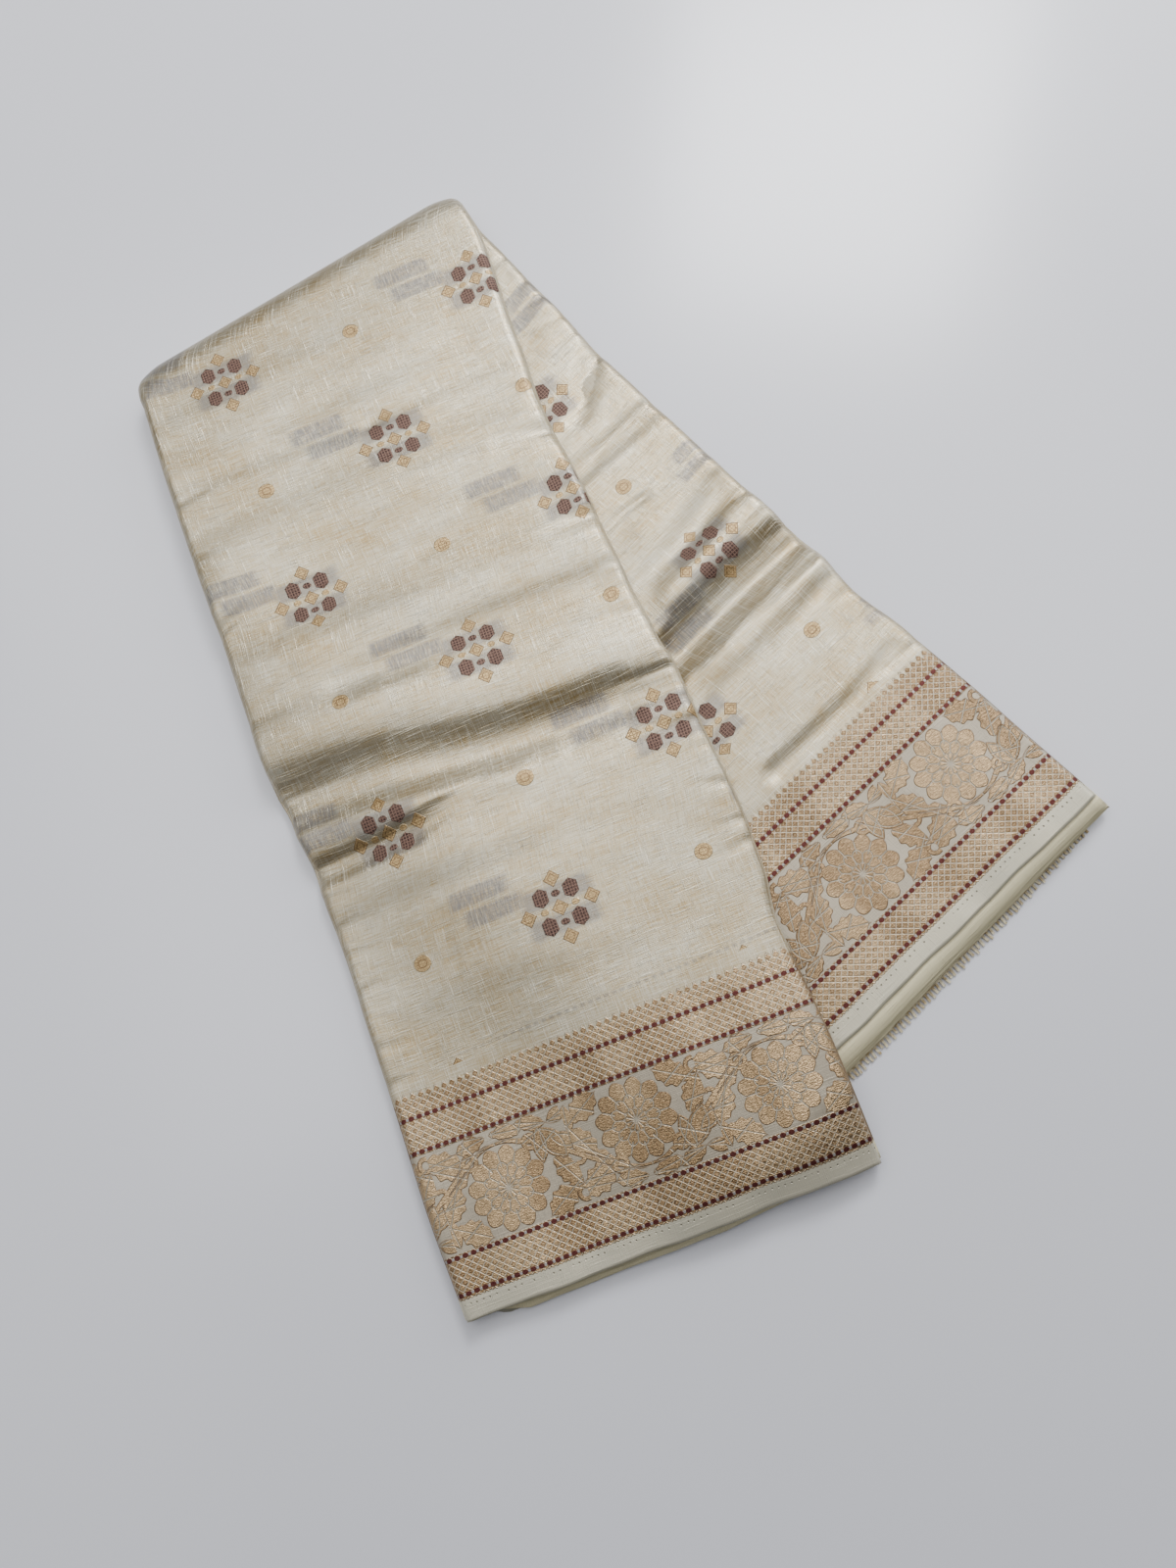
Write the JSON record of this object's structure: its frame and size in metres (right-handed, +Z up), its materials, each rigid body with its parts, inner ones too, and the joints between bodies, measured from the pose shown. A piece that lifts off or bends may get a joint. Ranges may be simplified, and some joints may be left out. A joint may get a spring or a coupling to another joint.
{
  "type": "folded saree",
  "caption": "Cream tissue-silk saree pleated into a flat bunch and folded once askew, with gold woven borders at both hems and maroon and gold motifs.",
  "frame": {"origin": "on the surface that the saree lies on, under the middle of its outline", "axes": "+Y from the front hem towards the fold, +X towards the side where the back half fans out, +Z up"},
  "size_m": [0.4298, 0.6338, 0.0261],
  "materials": {
    "brocade_silk": "slubby tissue silk with a soft metallic sheen, gold and maroon brocade",
    "plain_silk": "plain cream silk, matt at its cut edges",
    "selvedge_thread": "loose cut threads, matt"
  },
  "bodies": {
    "root": {"front_panel": "brocade_silk", "fold_turn": "brocade_silk", "back_underside": "brocade_silk", "front_underside": "brocade_silk", "back_panel": "brocade_silk", "front_inner_layers": "plain_silk", "back_inner_layers": "plain_silk", "back_selvedge_fringe": "selvedge_thread"}
  },
  "joints": []
}
